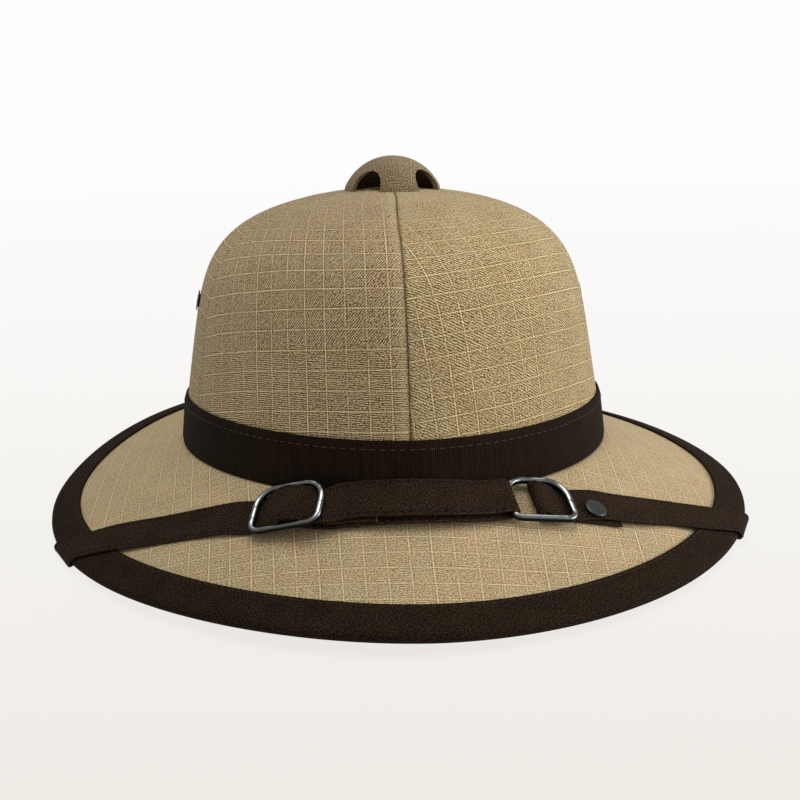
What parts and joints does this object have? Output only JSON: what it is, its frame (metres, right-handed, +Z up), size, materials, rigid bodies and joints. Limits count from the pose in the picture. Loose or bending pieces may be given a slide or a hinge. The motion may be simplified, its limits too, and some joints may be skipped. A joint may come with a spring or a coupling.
{
  "type": "pith helmet",
  "caption": "Cloth-covered pith helmet with a sloping bound brim, ribbed dark band, domed vent cap and a chin strap with slide frames laid over the front of the brim.",
  "frame": {"origin": "centre of the bounding box at its base, on the plane the brim rests on", "axes": "+Z up through the vent cap, -Y towards the front of the helmet, +X towards the wearer's left"},
  "size_m": [0.3046, 0.3396, 0.1497],
  "materials": {
    "khaki_cloth": "matt ripstop cotton",
    "brim_cloth": "matt ripstop cotton",
    "binding_cloth": "dark brown cotton twill",
    "cap_cloth": "matt cotton",
    "band_grosgrain": "dark ribbed ribbon, low sheen",
    "strap_webbing": "dark matt webbing",
    "gunmetal": "polished dark plating",
    "dark_metal": "dark, low gloss"
  },
  "bodies": {
    "root": {"brim": "brim_cloth", "brim_binding": "binding_cloth", "crown_panel_back_left": "khaki_cloth", "crown_panel_back_right": "khaki_cloth", "crown_panel_front_left": "khaki_cloth", "crown_panel_front_right": "khaki_cloth", "crown_panel_side_left": "khaki_cloth", "crown_panel_side_right": "khaki_cloth", "eyelet_left": "dark_metal", "eyelet_right": "dark_metal", "hat_band": "band_grosgrain", "slider_left": "gunmetal", "slider_right": "gunmetal", "snap_cap": "gunmetal", "strap_left": "strap_webbing", "strap_right": "strap_webbing", "vent_cap": "cap_cloth"}
  },
  "joints": []
}
